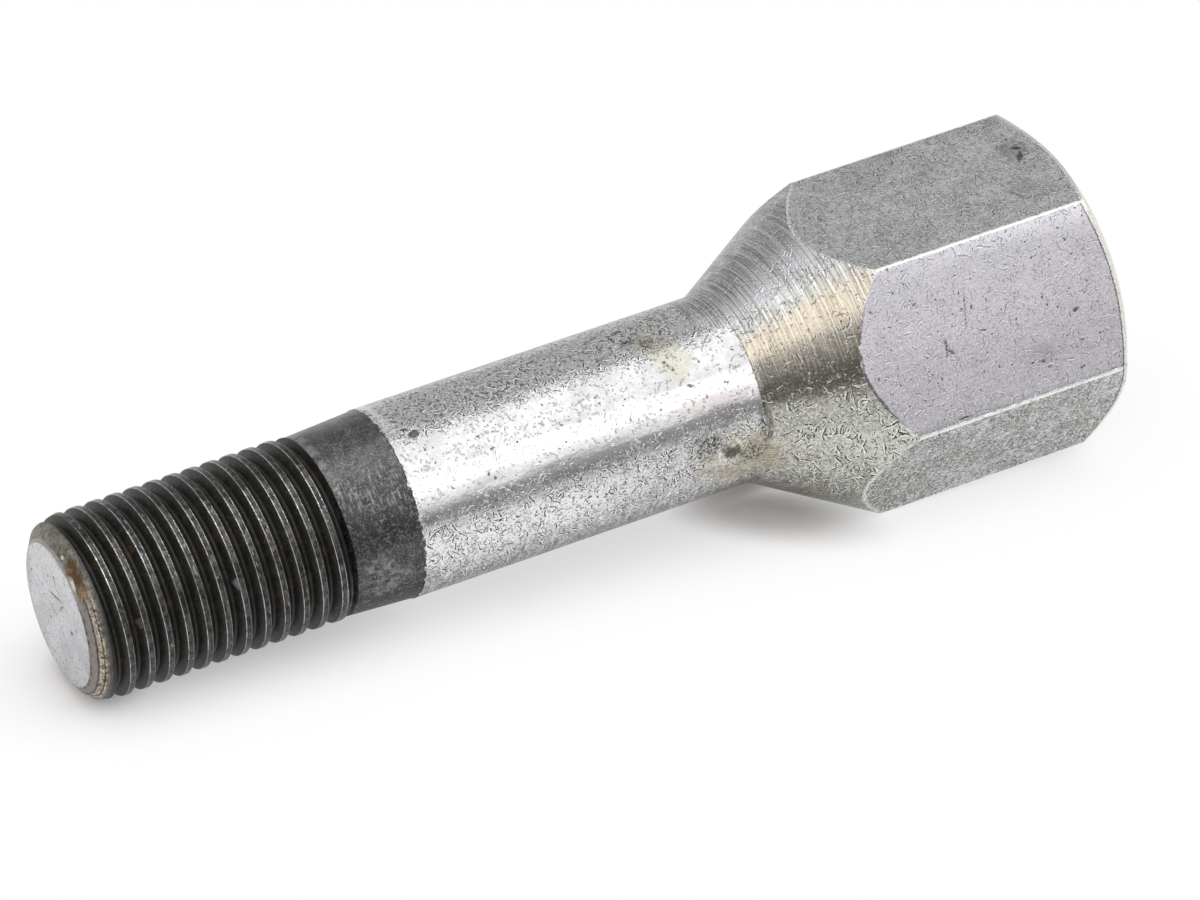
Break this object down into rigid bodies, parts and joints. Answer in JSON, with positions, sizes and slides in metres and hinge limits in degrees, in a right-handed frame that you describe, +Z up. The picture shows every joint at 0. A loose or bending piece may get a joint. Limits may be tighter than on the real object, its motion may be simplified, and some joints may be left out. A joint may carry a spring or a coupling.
{
  "type": "wheel bolt",
  "caption": "Steel wheel bolt with a metric thread, a plain shank, a conical seat and a tall hexagon head.",
  "frame": {"origin": "middle of the resting footprint's box, on the ground", "axes": "the bolt lies along X, tip towards -X and head towards +X, its axis rising by 4.1 degrees towards the head; +Z is up"},
  "size_m": [0.0818, 0.0254, 0.0234],
  "materials": {
    "steel": "zinc-plated steel, worn and scratched, with a dark oiled thread"
  },
  "bodies": {
    "root": {"wheel_bolt": "steel"}
  },
  "joints": []
}
